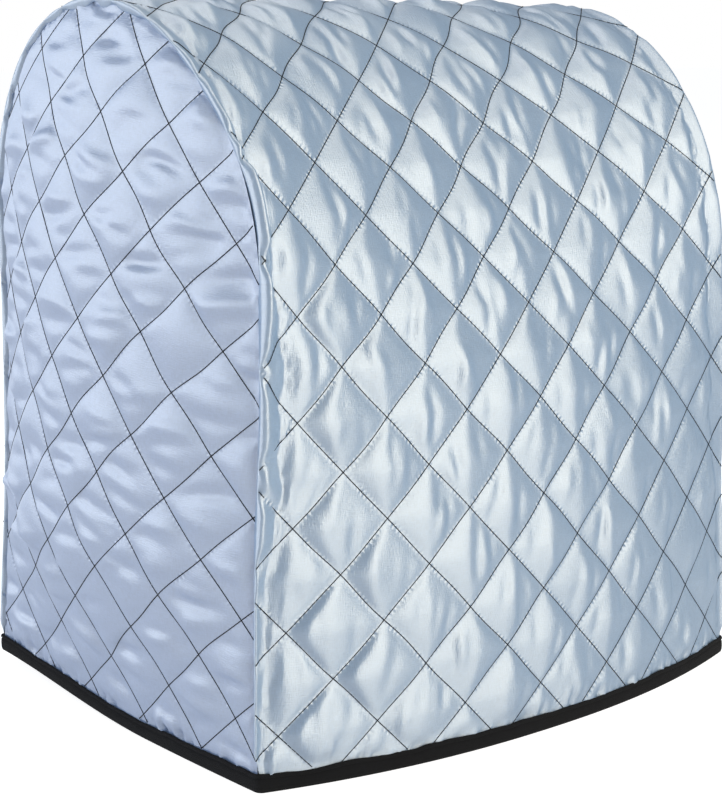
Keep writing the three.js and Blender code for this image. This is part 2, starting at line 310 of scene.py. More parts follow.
def strip_place(u, v):
    """How far across the strip from its middle the quilting coordinates u and v lie."""
    return (u - MIDDLE_U + strip_drift(v)) * PITCH + STRIP_SHIFT


def strip_u(s, v):
    return (s - STRIP_SHIFT) / PITCH + MIDDLE_U - strip_drift(v)


def end_place(u, v):
    """Where the quilting coordinates u and v lie on an end panel: y and z."""
    y = (END_ACROSS["start"] + u + END_ACROSS["skew"] * v) * PITCH
    z = (END_UP["start"] + v + END_UP["skew"] * u) * PITCH
    return y, z


def on_quilting_line(u, v):
    """Whether a grid point lies on a quilting line. The lines are where u + v or u - v is whole."""
    sum_line = np.abs((u + v) - np.round(u + v)) * GRID < 0.3
    difference_line = np.abs((u - v) - np.round(u - v)) * GRID < 0.3
    return sum_line | difference_line


def diamond(u, v):
    """0 on the quilting lines and 1 in the middle of each diamond."""
    return np.abs(np.sin(np.pi * (u + v)) * np.sin(np.pi * (u - v)))


def blur(a, across, up):
    """a, smoothed over that many cells across and up."""
    fy = np.fft.fftfreq(a.shape[0])[:, None]
    fx = np.fft.rfftfreq(a.shape[1])[None, :]
    keep = np.exp(-2 * np.pi**2 * ((fx * across) ** 2 + (fy * up) ** 2))
    return np.fft.irfft2(np.fft.rfft2(a) * keep, a.shape)


def noise(rng, shape, across, up):
    a = blur(rng.standard_normal(shape), across, up)
    return a / a.std()


def line_noise(rng, count, cells):
    return noise(rng, (count, 2), 0.01, cells)[:, 0]


def pull(a, b, free_a, free_b, rest, stiffness):
    """Moves two grids of points towards the distance that the cloth between them has."""
    d = b - a
    size = np.sqrt((d**2).sum(-1))
    weight = free_a + free_b
    move = (stiffness * (size - rest) / np.maximum(size * np.maximum(weight, 1), 1e-9))[..., None] * d
    a += move * free_a[..., None]
    b -= move * free_b[..., None]


def relax(flat, free, cells, full, target, rng, grain, rounds=160):
    """Cloth that is fixed where free is 0 and fuller than its room elsewhere, over wadding of the target
    height. Returns where it settles: flat's two columns moved a little, and its height."""
    x = np.concatenate([flat, (target * 0.8)[..., None]], -1)
    x[..., 2] += noise(rng, free.shape, *grain) * 0.9 * free * clamp01(target / 1.5)
    rest_a = cells[0] * (1 + full[0])
    rest_b = cells[1] * (1 + full[1])
    slanted = math.hypot(rest_a, rest_b)
    threads, bias = 0.9, 0.15  # stiffness along the threads, and across them
    bending, wadding = 0.04, 0.055
    for _ in range(rounds):
        for start in (0, 1):
            a, b = x[:, start:-1:2], x[:, start + 1 :: 2]
            fa, fb = free[:, start:-1:2], free[:, start + 1 :: 2]
            pull(a, b, fa, fb, rest_a, threads)
            a, b = x[start:-1:2], x[start + 1 :: 2]
            fa, fb = free[start:-1:2], free[start + 1 :: 2]
            pull(a, b, fa, fb, rest_b, threads)
            a, b = x[start:-1:2, :-1], x[start + 1 :: 2, 1:]
            fa, fb = free[start:-1:2, :-1], free[start + 1 :: 2, 1:]
            pull(a, b, fa, fb, slanted, bias)
            a, b = x[start:-1:2, 1:], x[start + 1 :: 2, :-1]
            fa, fb = free[start:-1:2, 1:], free[start + 1 :: 2, :-1]
            pull(a, b, fa, fb, slanted, bias)
        h = x[..., 2]
        around = np.zeros_like(h)
        around[1:-1, 1:-1] = (h[2:, 1:-1] + h[:-2, 1:-1] + h[1:-1, 2:] + h[1:-1, :-2]) / 4
        inner = np.zeros_like(h)
        inner[1:-1, 1:-1] = free[1:-1, 1:-1]
        h += inner * (bending * (around - h) + wadding * (target - h))
    return x


def quilted(u, v, rng, look, steep=0.0, shift=0.0, crumpled=1.0):
    """The height of each diamond: a dome with a ridge from corner to corner, and a few folds along the ridge.
    The ridge runs along v. Where steep is 1, the ridge is higher and stands close to the left corner, and
    shift moves it by that share of the diamond. Crumpled is a factor on the folds' depth."""
    a, b = u + v, u - v
    middle_a, middle_b = np.floor(a) + 0.5, np.floor(b) + 0.5
    dx = u - (middle_a + middle_b) / 2
    dy = v - (middle_a - middle_b) / 2
    chord = np.maximum(0.5 - np.abs(dy), 1e-6)
    dome = diamond(u, v)
    folds = look["folds"]
    rows, columns = 61, 67
    table = rng.uniform(-1, 1, (rows, columns, 3 + 6 * folds))
    r = table[np.floor(a).astype(int) % rows, np.floor(b).astype(int) % columns]
    wander = look["wander"] * r[..., 0] * np.cos(np.pi * dy) + 0.05 * r[..., 1] * np.sin(2 * np.pi * dy)
    steep = steep * clamp01(0.75 + 0.5 * r[..., 2])
    wander = wander * (1 - steep) + steep * np.maximum(-0.3 + 0.08 * r[..., 0] + 0.3 * wander, -0.66 * chord)
    wander = wander + 2 * shift * chord
    side_reach = np.where(dx < wander, chord + wander, chord - wander)
    reach = np.where((steep > 0) | (shift > 0), side_reach, chord)
    ridge = np.maximum(1 - 0.985 * np.hypot((dx - wander) / reach, 0.11), 0) * (2 * chord) ** 0.8
    ridge = ridge * (1 + 0.9 * steep)
    height = (look["dome"] * dome**0.55 + look["ridge"] * ridge) * (1 + 0.12 * r[..., 2])
    for fold in range(folds):
        f = r[..., 3 + 6 * fold : 9 + 6 * fold]
        share = np.where(f[..., 2] > -0.3, 0.65 + 0.35 * f[..., 3], 0)
        depth = crumpled * look["depth"] * share * np.sign(f[..., 4] + 0.3)
        x = (dx - 0.24 * f[..., 0] - 0.25 * f[..., 5] * dy) * PITCH / look["fold_width"]
        y = (dy - 0.2 * f[..., 1]) * PITCH / look["fold_length"]
        height = height - depth * np.exp(-(x**2 + y**2) / 2) * clamp01(dome * 3)
    return np.where(dome < 1e-6, 0, height)


def hem_gathers(rng, u, v, from_hem):
    """Small folds that stand up from the hem, where the binding draws the cloth together."""
    folds = noise(rng, u.shape, *HEM_GATHERS["cells"])
    reach = HEM_GATHERS["reach"] + HEM_GATHERS["uneven"] * noise(rng, u.shape, 9, 9)
    low = clamp01(1 - (from_hem - BINDING_HEIGHT) / np.maximum(reach, 4)) * (from_hem > BINDING_HEIGHT)
    return HEM_GATHERS["height"] * folds * low * clamp01(5 * diamond(u, v))


def make_mesh(name, points, face_lists, uv=None):
    """A mesh object from points in millimetres. Each list holds faces with the same number of corners, and uv
    has one pair to each point."""
    mesh = bpy.data.meshes.new(name)
    face_lists = [np.asarray(f, np.int32) for f in face_lists if len(f)]
    corners = np.concatenate([f.ravel() for f in face_lists])
    sizes = np.concatenate([np.full(len(f), f.shape[1]) for f in face_lists])
    mesh.vertices.add(len(points))
    mesh.vertices.foreach_set("co", (np.asarray(points) * MM).astype(np.float32).ravel())
    mesh.loops.add(len(corners))
    mesh.loops.foreach_set("vertex_index", corners)
    mesh.polygons.add(len(sizes))
    starts = np.concatenate([[0], np.cumsum(sizes)[:-1]])
    mesh.polygons.foreach_set("loop_start", starts.astype(np.int32))
    mesh.update(calc_edges=True)
    if uv is not None:
        layer = mesh.uv_layers.new(name="quilt")
        layer.data.foreach_set("uv", np.asarray(uv, np.float32)[corners].ravel())
    mesh.validate()
    mesh.polygons.foreach_set("use_smooth", np.ones(len(mesh.polygons), bool))
    obj = bpy.data.objects.new(name, mesh)
    bpy.context.scene.collection.objects.link(obj)
    return obj


def grid_faces(rows, columns, flip=False, free=None):
    """Quads over a grid of points. Where free is given, each quad folds along the stitched line on it."""
    r, c = np.meshgrid(np.arange(rows - 1), np.arange(columns - 1), indexing="ij")
    a = (r * columns + c).ravel()
    quads = np.stack([a, a + 1, a + columns + 1, a + columns], -1)
    if free is not None:
        loose = free.ravel()[quads] > 0
        turned = ~loose[:, 1] & ~loose[:, 3] & (loose[:, 0] | loose[:, 2])
        quads[turned] = np.roll(quads[turned], 1, axis=1)
    return quads[:, [0, 3, 2, 1]] if flip else quads


def join_equal(points, quads, uv):
    """Joins points that have fallen together. Returns points, quads, triangles and uv."""
    key = np.round(points * 50).astype(np.int64)
    _, first, same = np.unique(key, axis=0, return_index=True, return_inverse=True)
    faces = same.reshape(-1)[quads]
    equal = faces == np.roll(faces, -1, axis=1)
    count = equal.sum(1)
    thin = faces[count == 1]
    drop = np.argmax(equal[count == 1], axis=1)
    keep = np.ones(thin.shape, bool)
    keep[np.arange(len(thin)), drop] = False
    tris = thin[keep].reshape(-1, 3)
    return points[first], faces[count == 0], tris, uv[first]


def join_grids(grids):
    """Joins grids of points, uv and faces into one, as join_equal returns it."""
    points, uvs, faces, count = [], [], [], 0
    for grid_points, grid_uv, quads in grids:
        points.append(grid_points.reshape(-1, 3))
        uvs.append(grid_uv.reshape(-1, 2))
        faces.append(quads + count)
        count += len(points[-1])
    return join_equal(np.concatenate(points), np.concatenate(faces), np.concatenate(uvs))


def build_strip():
    rng = np.random.default_rng(11)
    step = PITCH / GRID
    rows_v = np.arange(math.ceil(HEM_V * GRID), math.floor((SPAN / PITCH + HEM_V) * GRID) + 1) / GRID
    inner = (rows_v - HEM_V) * PITCH
    inner = inner[(inner > BINDING_HEIGHT + 0.4) & (inner < SPAN - BINDING_HEIGHT - 0.4)]
    ends = np.array([HEM_Z, BINDING_HEIGHT - 1.5])
    along = np.concatenate([ends, inner, SPAN - ends[::-1]])
    v = along / PITCH + HEM_V
    left = lip_edge(along, -1)[0][:, None]
    right = lip_edge(along, 1)[0][:, None]
    columns = grid_line(STRIP_COLUMNS, GRID)
    u = np.broadcast_to(columns[None, :], (len(v), len(columns)))
    vv = np.broadcast_to(v[:, None], u.shape)
    s = strip_place(u, vv)
    clipped = np.clip(s, -left, right)
    u_true = strip_u(clipped, vv)
    flat = np.stack([clipped, np.broadcast_to(along[:, None], u.shape)], -1)
    inside = np.minimum(s + left, right - s)
    fixed = on_quilting_line(u, vv) | (inside <= 0.3)
    fixed[:2] = True
    fixed[-2:] = True
    free = 1.0 - fixed
    from_hem = np.minimum(flat[..., 1], SPAN - flat[..., 1])
    fade = smooth(inside / 10) * smooth((from_hem - BINDING_HEIGHT) / 10)
    look = LOOK["strip"]
    middle_a = np.floor(u_true + vv) + 0.5
    middle_b = np.floor(u_true - vv) + 0.5
    middle_v = (middle_a - middle_b) / 2
    middle_s = strip_place((middle_a + middle_b) / 2, middle_v)
    low = middle_v - HEM_V < LOW_ROWS
    steep = np.where((middle_s > STEEP_DIAMONDS[0]) & (middle_s < STEEP_DIAMONDS[1]) & low, 1.0, 0.0)
    shift = EDGE_SHIFT * ((middle_s <= STEEP_DIAMONDS[0]) & low)
    crumpled = 1 + CRUMPLED_TOP * top_growth(along)[:, None]
    target = quilted(u_true, vv, rng, look, steep, shift, crumpled) * fade
    x = np.concatenate([flat, target[..., None]], -1)
    x = relax(flat, free, (step, step), look["fullness"], target, rng, look["grain"])
    x[..., 2] += hem_gathers(rng, u_true, vv, from_hem) * free
    base = strip_point(x[..., 0], x[..., 1])
    points = lifted(base + strip_normal(x[..., 0], x[..., 1]) * x[..., 2:3])
    return along, points, np.stack([u_true, vv], -1), grid_faces(*u.shape, free=free)


def lip_fullness(u, v):
    """How far the rolled edge stands up: less where a quilting line crosses it."""
    pinch = np.minimum(np.abs(np.sin(np.pi * (u + v))), np.abs(np.sin(np.pi * (u - v))))
    return PINCHED + (1 - PINCHED) * smooth(pinch / 0.55)


def roll_share(along, sign):
    """The roll's share of its height along a seam. It lies flatter at the right end, and over the top of the
    left end and behind it."""
    return np.where(sign < 0, 1 - 0.65 * smooth((along - 0.72 * TOP) / (0.2 * TOP)), 0.5)


def pushed(out, push):
    return push * clamp01(out / 9.5) ** 1.2


def lip_point(sign, s, along, height):
    """A point over the strip's edge, where the roll overhangs the seam."""
    inner = np.minimum(s, STRIP_REACH)
    base = strip_point(sign * inner, along)
    base[..., 0] += sign * (s - inner)
    normal = strip_normal(sign * np.minimum(s, STRIP_REACH - 3), along)
    return lifted(base + normal * height[..., None]), normal


def build_lip(along, sign):
    """The rolled edge of the strip along one end seam: rows of points from its foot to the seam."""
    rng = np.random.default_rng(23 if sign < 0 else 24)
    v = (along / PITCH + HEM_V)[:, None]
    foot, push, wide = (one[:, None] for one in lip_edge(along, sign))
    foot_u = strip_u(sign * foot, v)
    from_hem = np.minimum(along, SPAN - along)
    free = smooth((from_hem - BINDING_HEIGHT) / 12)[:, None]
    wobble = line_noise(rng, len(along), 8)[:, None]
    sway = line_noise(rng, len(along), 11)[:, None]
    out, rise = np.array(LIP_SHAPE).T[:, None, :]
    over = LIP_OUT * (1 - free) * clamp01(out / LIP_WIDTH)
    middle = np.sin(np.pi * np.linspace(0, 1, len(LIP_SHAPE)))[None, :]
    s = foot + out * wide - over + 0.7 * middle * sway * free
    u = foot_u + sign * (s - foot) / PITCH
    even = lip_fullness(u, v)
    full = (even + 0.3 * wobble * (even - PINCHED)) * free
    height = rise * full * (0.3 + 0.7 * wide)
    height = np.where(height > 0, height * roll_share(along, sign)[:, None], height)
    height = height + pushed(out, push) * (0.75 + 0.25 * full)
    points, _ = lip_point(sign, s, np.broadcast_to(along[:, None], s.shape), height)
    return points, np.stack(np.broadcast_arrays(u, v), -1)


def end_outline(inset, end):
    """The seam of an end panel: points from the near hem over the top to the far hem."""
    line = []
    for side, sign in (("near", -1), ("far", 1)):
        share = np.linspace(0, 1, 260)
        y, z = SEAM[side].at(share)
        ya, za = SEAM[side].at(clamp01(share - 0.002))
        yb, zb = SEAM[side].at(clamp01(share + 0.002))
        size = np.hypot(yb - ya, zb - za)
        inward = inset - (0.97 * proud(z) if end < 0 and side == "near" else 0)
        yi = np.maximum(y - inward * (zb - za) / size, 0)
        zi = z + inward * (yb - ya) / size
        zi[0] = HEM_Z
        half = np.stack([sign * yi + lean(zi), zi], -1)
        line.append(half if sign < 0 else half[::-1][1:])
    return np.concatenate(line)


def to_line(y, z, line):
    """Signed distance to a closed line, below 0 inside, and the nearest point on it."""
    shape = y.shape
    p = np.stack([y.ravel(), z.ravel()], -1)
    a = line
    b = np.roll(line, -1, axis=0)
    best = np.full(len(p), np.inf)
    near = np.zeros_like(p)
    turns = np.zeros(len(p), bool)
    for one, two in zip(a, b):
        d = two - one
        t = np.clip(((p - one) @ d) / (d @ d), 0, 1)
        q = one + t[:, None] * d
        far = np.hypot(*(p - q).T)
        closer = far < best
        best = np.where(closer, far, best)
        near[closer] = q[closer]
        cross = (one[1] > p[:, 1]) != (two[1] > p[:, 1])
        if cross.any():
            at = one[0] + (p[:, 1] - one[1]) * d[0] / (d[1] if d[1] else 1e-9)
            turns ^= cross & (p[:, 0] < at)
    return np.where(turns, -best, best).reshape(shape), near.reshape(*shape, 2)


def build_end(sign):
    rng = np.random.default_rng(31 if sign < 0 else 37)
    step = PITCH / GRID
    line = end_outline(1.3, sign)
    v, u = np.meshgrid(grid_line(END_ROWS, GRID), grid_line(END_COLUMNS, GRID), indexing="ij")
    y, z = end_place(u, v)
    away, nearest = to_line(y, z, line)
    outside = away > -0.45 * step
    y = np.where(outside, nearest[..., 0], y)
    z = np.where(outside, nearest[..., 1], z)
    flat = np.stack([y, z], -1)
    free = 1.0 - (on_quilting_line(u, v) | outside | (z < BINDING_HEIGHT - 0.5))
    fade = smooth(-away / 9) * smooth((z - BINDING_HEIGHT) / 9)
    look = LOOK["end"]
    target = quilted(v, u, rng, look) * fade
    x = np.concatenate([flat, target[..., None]], -1)
    x = relax(flat, free, (step, step), look["fullness"], target, rng, look["grain"])
    x[..., 2] += hem_gathers(rng, u, v, z) * free
    base = end_point(x[..., 0], x[..., 1], sign)
    points = lifted(base + end_normal(x[..., 0], x[..., 1], sign) * x[..., 2:3])
    quads = grid_faces(*u.shape, flip=sign < 0, free=free)
    kept = quads[(~outside.ravel()[quads]).any(1)]
    return points.reshape(-1, 3), kept, np.stack([u, v], -1).reshape(-1, 2)


def spindles(centres, along, out, length, radius):
    """Stitches: short rounded threads, as points and triangles."""
    side = unit(np.cross(along, out))
    sides = 5
    last = 2 * sides + 1
    angle = np.arange(sides) * 2 * np.pi / sides
    ring = np.cos(angle)[None, :, None] * side[:, None] + np.sin(angle)[None, :, None] * out[:, None] * 0.8
    half = length[:, None] / 2
    tip_a = centres - along * half - out * radius * 0.2
    tip_b = centres + along * half - out * radius * 0.2
    ring_a = (centres - along * half * 0.93)[:, None] + ring * radius
    ring_b = (centres + along * half * 0.93)[:, None] + ring * radius
    points = np.concatenate([tip_a[:, None], ring_a, ring_b, tip_b[:, None]], 1)
    tris = []
    for i in range(sides):
        a, b = 1 + i, 1 + (i + 1) % sides
        c, d = a + sides, b + sides
        tris += [(0, b, a), (a, b, d), (a, d, c), (last, c, d)]
    tris = np.array(tris)[None] + np.arange(len(centres))[:, None, None] * (last + 1)
    return points.reshape(-1, 3), tris.reshape(-1, 3)


def place_strip(flat):
    s, along = flat[:, 0], flat[:, 1]
    inside = np.clip(along, 0, SPAN)
    foot, push, wide = lip_edge(inside, np.sign(s))
    out = (np.abs(s) - foot) / wide
    on = (out < 12) & (along > BINDING_HEIGHT) & (along < SPAN - BINDING_HEIGHT)
    rise = np.interp(out, *np.array(LIP_SHAPE[:10]).T) * PINCHED * (0.3 + 0.7 * wide)
    rise = rise * roll_share(inside, np.sign(s))
    rise = rise + pushed(out, push) * (0.75 + 0.25 * PINCHED)
    points, normal = lip_point(np.sign(s), np.minimum(np.abs(s), STRIP_REACH + LIP_OUT), inside, rise + 0.15)
    return points, normal, on


def place_end(sign, line):
    def place(flat):
        y, z = flat[:, 0], flat[:, 1]
        away, _ = to_line(y, z, line)
        on = (away < -0.5) & (z > BINDING_HEIGHT)
        normal = end_normal(y, z, sign)
        return lifted(end_point(y, z, sign) + normal * 0.15), normal, on

    return place


def build_stitches(name, lines, rng):
    found = [one for line in lines for one in line]
    centre, along, out = (np.concatenate([f[i] for f in found]) for i in range(3))
    length = STITCH["length"] * (1 + 0.06 * rng.standard_normal(len(centre)))
    points, tris = spindles(centre, along, out, length, STITCH["radius"])
    return make_mesh(name, points, [tris])


def strip_lines(rng):
    lines = []
    for n in range(-6, 22):
        for slope in (1, -1):
            # u + slope * v = n
            v = np.linspace(HEM_V, SPAN / PITCH + HEM_V, 400)
            u = n - slope * v
            s = strip_place(u, v)
            along = (v - HEM_V) * PITCH
            ok = np.abs(s) < STRIP_REACH + 60
            if ok.sum() < 3:
                continue
            lines.append(stitch_path(place_strip, np.stack([s[ok], along[ok]], -1), rng))
    return lines


def sample(where, run, source):
    return np.stack([np.interp(where, run, source[:, i]) for i in range(3)], -1)


def stitch_path(place, path, rng):
    run = run_length(path)
    t = np.arange(0, run[-1], 0.4)
    flat = np.stack([np.interp(t, run, path[:, i]) for i in range(2)], -1)
    points, normals, on = place(flat)
    found = []
    edges = np.flatnonzero(np.diff(np.concatenate([[0], on.astype(int), [0]])))
    for a, b in zip(edges[::2], edges[1::2]):
        if b - a < 6:
            continue
        p, m = points[a:b], normals[a:b]
        size = run_length(p)
        count = int(size[-1] / STITCH["pitch"])
        if count < 1:
            continue
        mid = (np.arange(count) + 0.5) * size[-1] / count + rng.uniform(-0.12, 0.12, count)
        ahead = sample(mid + 0.8, size, p) - sample(mid - 0.8, size, p)
        found.append((sample(mid, size, p), unit(ahead), unit(sample(mid, size, m))))
    return found


def end_lines(sign, rng):
    line = end_outline(1.6, sign)
    place = place_end(sign, line)
    lines = []
    for n in range(-6, 12):
        for slope in (1, -1):
            v = np.linspace(-4.6, 4.4, 200)
            u = n - slope * v
            y, z = end_place(u, v)
            ok = (np.abs(y) < 150) & (z < 410)
            if ok.sum() < 3:
                continue
            lines.append(stitch_path(place, np.stack([y[ok], z[ok]], -1), rng))
    return lines


def side_half_width(x, z, side):
    across = np.clip(x / (LENGTH / 2 + FLARE["ends"] * flare_out(z)), -1, 1)
    blend = 1 - np.abs(across) ** SIDE_FULLNESS
    middle = SIDE_HALF_WIDTH[side] * np.sqrt(1 - (z / MIDDLE_HEIGHT) ** 2)
    seam = seam_half_width(z, side)
    return seam + (middle - seam) * blend


def hem_loop(z, outward, corner_round):
    """A closed loop round the cover at a height and a distance outside the cloth."""
    corner_x = LENGTH / 2 + FLARE["ends"] * flare_out(z) + outward
    corner_y = {side: float(seam_half_width(z, side)) + outward for side in ("near", "far")}
    sign = {"near": -1, "far": 1}
    reach = corner_x - corner_round

    def long_side(x, side):
        return np.stack([x, sign[side] * (side_half_width(x, z, side) + outward)], -1)

    def end_side(share, end):
        low = -corner_y["near"] + corner_round
        y = low + (corner_y["far"] - corner_round - low) * share
        return np.stack([end * (LENGTH / 2 + end_bulge(y, np.full_like(y, z)) + outward), y], -1)

    def corner(a, sharp, b):
        t = np.linspace(0, 1, 9)[1:-1, None]
        return (1 - t) ** 2 * a + 2 * t * (1 - t) * np.array(sharp) + t**2 * b

    run = np.linspace(-reach, reach, 240)
    share = np.linspace(0, 1, 170)
    near = long_side(run, "near")
    right = end_side(share, 1)
    far = long_side(run[::-1], "far")
    left = end_side(share[::-1], -1)
    parts = [
        near,
        corner(near[-1], (corner_x, -corner_y["near"]), right[0]),
        right,
        corner(right[-1], (corner_x, corner_y["far"]), far[0]),
        far,
        corner(far[-1], (-corner_x, corner_y["far"]), left[0]),
        left,
        corner(left[-1], (-corner_x, -corner_y["near"]), near[0]),
    ]
    return np.concatenate(parts)


def build_binding():
    rng = np.random.default_rng(5)
    inner = -(CLOTH + 0.5)
    section = [  # height, outward, corner's round
        (9.6, 0.35, 2.0),
        (10.0, 0.7, 2.5),
        (9.9, 1.3, 3.0),
        (9.0, 1.75, 3.5),
        (8.2, 1.75, 3.7),
        (7.6, 1.05, 3.8),
        (6.9, 1.7, 4.0),
        (4.5, 1.85, 4.0),
        (2.0, 1.7, 4.0),
        (0.7, 1.3, 4.0),
        (0.1, 0.5, 3.5),
        (0.0, -1.0, 3.0),
        (0.1, -2.8, 2.0),
        (0.8, -3.8, 1.5),
        (2.5, -4.1, 1.5),
        (9.2, -4.0, 1.5),
        (9.7, -3.4, 2.0),
        (9.4, inner, 2.0),
    ]
    loops = [hem_loop(z, outward, rounding) for z, outward, rounding in section]
    count = len(loops[0])
    wave = line_noise(rng, count, 7)
    ripple = line_noise(rng, count, 2.2)
    points = []
    for (z, outward, _), loop in zip(section, loops):
        top = smooth((z - 2) / 7)
        push = 1 + 0.0012 * wave * top
        height = z + top * (0.45 * wave + 0.22 * ripple)
        xyz = np.stack([loop[:, 0] * push, loop[:, 1] * push, height], -1)
        points.append(lifted(xyz))
    points = np.stack(points)
    rows, columns = points.shape[:2]
    size = run_length(points[4])
    heights, outs, _ = np.array(section).T
    drop = np.concatenate([[0], np.cumsum(np.hypot(np.diff(heights), np.diff(outs)))])
    closed = np.concatenate([points, points[:, :1]], 1)
    along = np.concatenate([size, [size[-1] + np.linalg.norm(points[4][0] - points[4][-1])]])
    uv = np.stack(np.broadcast_arrays(along[None, :], drop[:, None]), -1) / 10
    quads = grid_faces(rows, columns + 1)
    return make_mesh("hem_tape", closed.reshape(-1, 3), [quads], uv.reshape(-1, 2))


def back_puff(u, v):
    """How far the back of a diamond stands in."""
    return 1.4 * diamond(u, v) ** 0.55


def build_strip_back():
    """The back of the main panel, a plain quilted grid."""
    last = math.floor((SPAN / PITCH + HEM_V) * BACK_GRID)
    v = np.arange(math.ceil(HEM_V * BACK_GRID), last + 1) / BACK_GRID
    along = np.concatenate([[HEM_Z], (v - HEM_V) * PITCH, [SPAN - HEM_Z]])
    along = along[(along >= HEM_Z) & (along <= SPAN - HEM_Z)]
    s = np.linspace(-STRIP_REACH + 1.5, STRIP_REACH - 1.5, 63)
    s, along = np.meshgrid(s, along)
    vv = along / PITCH + HEM_V
    u = strip_u(s, vv)
    puff = smooth((np.minimum(along, SPAN - along) - BINDING_HEIGHT) / 10)
    depth = CLOTH + back_puff(u, vv) * puff
    points = lifted(strip_point(s, along) - strip_normal(s, along) * depth[..., None])
    quads = grid_faces(*s.shape, flip=True)
    return points.reshape(-1, 3), quads, np.stack([u, vv], -1).reshape(-1, 2)


def build_end_back(sign):
    """The back of an end panel, between its seam and its hem."""
    line = end_outline(3.4, sign)
    rows, columns = grid_line(BACK_ROWS, BACK_GRID), grid_line(BACK_COLUMNS, BACK_GRID)
    v, u = np.meshgrid(rows, columns, indexing="ij")
    y, z = end_place(u, v)
    away, nearest = to_line(y, z, line)
    outside = away > -0.5
    y = np.where(outside, nearest[..., 0], y)
    z = np.where(outside, nearest[..., 1], z)
    depth = CLOTH + back_puff(u, v) * smooth(-away / 9) * smooth((z - BINDING_HEIGHT) / 9)
    points = lifted(end_point(y, z, sign) - end_normal(y, z, sign) * depth[..., None])
    quads = grid_faces(*u.shape, flip=sign > 0)
    kept = quads[(~outside.ravel()[quads]).any(1)]
    return points.reshape(-1, 3), kept, np.stack([u, v], -1).reshape(-1, 2)


class Nodes:
    """Short calls for a material's nodes."""

    def __init__(self, name):
        self.material = bpy.data.materials.new(name)
        self.material.use_nodes = True
        self.tree = self.material.node_tree
        self.shader = self.tree.nodes["Principled BSDF"]

    def add(self, kind, values=(), **settings):
        node = self.tree.nodes.new(kind)
        for key, value in settings.items():
            setattr(node, key, value)
        for key, value in dict(values).items():
            if isinstance(value, bpy.types.NodeSocket):
                self.tree.links.new(value, node.inputs[key])
            else:
                node.inputs[key].default_value = value
        return node

    def math(self, operation, a, b=0.0, c=0.0):
        return self.add("ShaderNodeMath", {0: a, 1: b, 2: c}, operation=operation).outputs[0]

    def link(self, source, socket):
        self.tree.links.new(source, self.shader.inputs[socket])

    def mix(self, factor, a, b):
        node = self.add("ShaderNodeMix", {0: factor, 6: a, 7: b}, data_type="RGBA")
        return node.outputs[2]


def satin(name, colour, turn):
    """Finely woven satin, with its gloss drawn out along one thread direction, gathered at the stitches."""
    n = Nodes(name)
    uv = n.add("ShaderNodeUVMap", uv_map="quilt").outputs[0]
    split = n.add("ShaderNodeSeparateXYZ", {0: uv})
    u, v = split.outputs[0], split.outputs[1]

    def from_line(value):
        saw = n.math("FRACT", value)
        return n.math("MINIMUM", saw, n.math("SUBTRACT", 1.0, saw))

    def gathers(along, away):
        """Ripples across one set of stitching lines, fading away from it."""
        waves = PITCH / math.sqrt(2) * 2 * math.pi / STITCH["pitch"]
        ripple = n.math("SINE", n.math("MULTIPLY", along, waves))
        beside = n.math("MAXIMUM", n.math("SUBTRACT", 1.0, n.math("MULTIPLY", away, 13.0)), 0.0)
        return n.math("MULTIPLY", ripple, n.math("MULTIPLY", beside, beside))

    sum_uv = n.math("ADD", u, v)
    difference = n.math("SUBTRACT", u, v)
    one_way = gathers(difference, from_line(sum_uv))
    ripples = n.math("ADD", one_way, gathers(sum_uv, from_line(difference)))
    patchy = n.add("ShaderNodeTexNoise", {"Vector": uv, "Scale": 6.0, "Detail": 3.0}).outputs[0]
    patchy = n.math("POWER", n.math("MULTIPLY", patchy, 1.5), 4.0)
    threads_a = n.add("ShaderNodeMapping", {0: uv, 3: (14.0, 85.0, 1.0)}).outputs[0]
    threads_b = n.add("ShaderNodeMapping", {0: uv, 3: (85.0, 14.0, 1.0)}).outputs[0]
    weft = n.add("ShaderNodeTexNoise", {"Vector": threads_a, "Scale": 1.0, "Detail": 3.0}).outputs[0]
    warp = n.add("ShaderNodeTexNoise", {"Vector": threads_b, "Scale": 1.0, "Detail": 3.0}).outputs[0]
    weave = n.math("ADD", weft, warp)
    shade = n.math("MULTIPLY_ADD", weave, 1.6, -1.1)
    tone = n.mix(shade, (*(0.88 * c for c in colour), 1), (*(1.12 * c for c in colour), 1))
    n.link(tone, "Base Color")
    gathered = n.math("MULTIPLY", ripples, patchy)
    height = n.math("MULTIPLY_ADD", gathered, 1.15, n.math("MULTIPLY", weave, 0.42))
    bump = n.add("ShaderNodeBump", {"Height": height, "Strength": 0.5, "Distance": 0.0007}).outputs[0]
    n.link(bump, "Normal")
    tangent = n.add("ShaderNodeTangent", direction_type="UV_MAP", uv_map="quilt").outputs[0]
    n.link(tangent, "Tangent")
    shader = n.shader.inputs
    shader["IOR"].default_value = 3.4
    shader["Roughness"].default_value = 0.44
    shader["Anisotropic"].default_value = 0.93
    shader["Anisotropic Rotation"].default_value = turn
    return n.material


def thread_material():
    n = Nodes("quilting_thread")
    spot = n.add("ShaderNodeTexNoise", {"Scale": 900.0, "Detail": 2.0}).outputs[0]
    n.link(n.mix(spot, (0.007, 0.008, 0.011, 1), (0.026, 0.028, 0.034, 1)), "Base Color")
    n.shader.inputs["Roughness"].default_value = 0.8
    n.shader.inputs["Specular IOR Level"].default_value = 0.25
    return n.material


